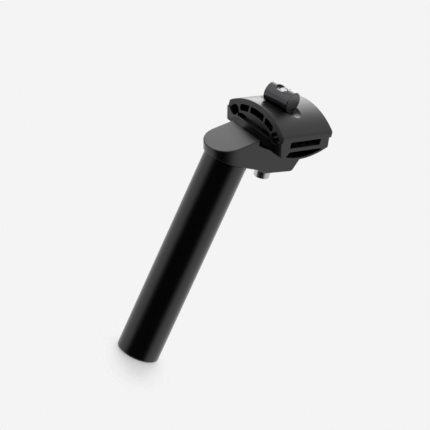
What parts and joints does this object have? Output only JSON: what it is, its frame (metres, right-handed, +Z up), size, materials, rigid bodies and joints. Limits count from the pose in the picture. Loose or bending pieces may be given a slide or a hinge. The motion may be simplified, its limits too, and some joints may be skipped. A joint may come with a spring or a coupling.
{
  "type": "bicycle seatpost",
  "caption": "Round tube with a forged setback head and a split clamp for saddle rails on a curved seat, held down by a long bolt in a barrel nut.",
  "frame": {"origin": "on the tube's axis at the foot of its straight wall, just above the chamfered end", "axes": "+Z up the tube's axis, +X back along the setback head, +Y across the saddle rails"},
  "size_m": [0.0772, 0.0596, 0.2121],
  "materials": {
    "black_tube": "satin black anodised",
    "black_forging": "fine-blasted black anodised",
    "black_nut": "turned, glossy black",
    "zinc_steel": "bright zinc plated"
  },
  "bodies": {
    "post": {"tube": "black_tube", "head": "black_forging"},
    "saddle_clamp": {"lower_cradle": "black_forging", "upper_clamp": "black_forging", "barrel_nut": "black_nut", "clamp_bolt": "zinc_steel", "washer": "zinc_steel", "rocker": "black_forging"}
  },
  "joints": [
    {"name": "saddle_tilt", "type": "hinge", "parent": "post", "child": "saddle_clamp", "pos_m": [0.02041, 0, 0.22157], "axis": [0, 1, 0], "range_deg": [-5, 8]}
  ]
}
